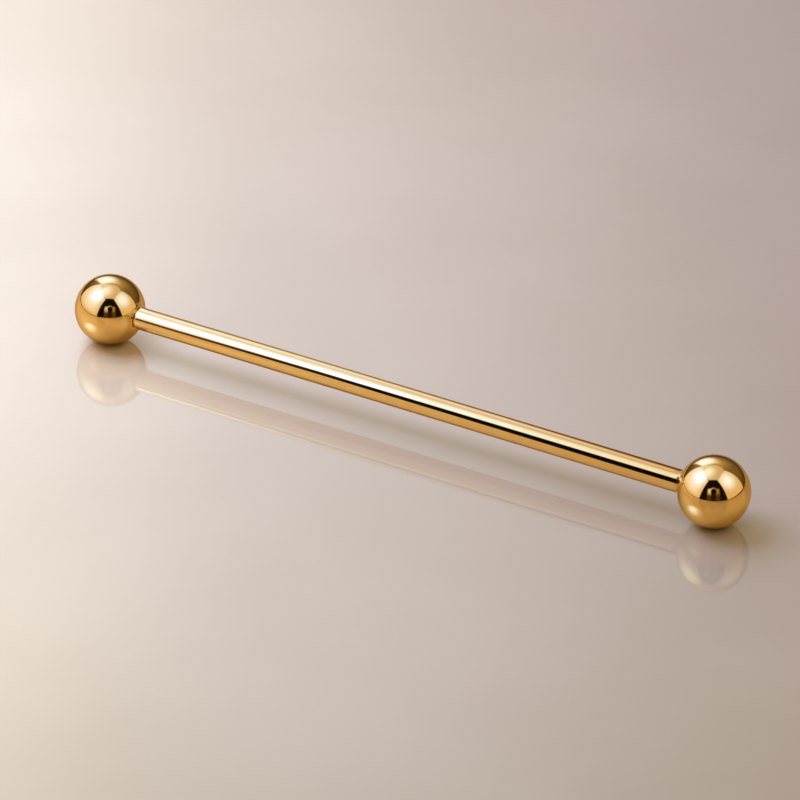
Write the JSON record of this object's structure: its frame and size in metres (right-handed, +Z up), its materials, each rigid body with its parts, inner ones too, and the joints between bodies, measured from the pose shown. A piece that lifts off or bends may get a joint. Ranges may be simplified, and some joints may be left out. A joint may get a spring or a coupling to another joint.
{
  "type": "industrial barbell",
  "caption": "Straight polished gold body-jewellery barbell with a slim round bar and a ball that unscrews from each end.",
  "frame": {"origin": "on the surface that the barbell lies on, below the middle of the bar", "axes": "+X along the bar towards the right ball, +Z up from the surface, +Y across"},
  "size_m": [0.0538, 0.005, 0.005],
  "materials": {
    "polished_gold": "mirror-polished gold coating on surgical steel"
  },
  "bodies": {
    "bar": {"bar": "polished_gold"},
    "ball_left": {"ball_left": "polished_gold"},
    "ball_right": {"ball_right": "polished_gold"}
  },
  "joints": [
    {"name": "unscrew_left", "type": "slide", "parent": "bar", "child": "ball_left", "axis": [-1, 0, 0], "range_m": [0, 0.008]},
    {"name": "unscrew_right", "type": "slide", "parent": "bar", "child": "ball_right", "axis": [1, 0, 0], "range_m": [0, 0.008]}
  ]
}
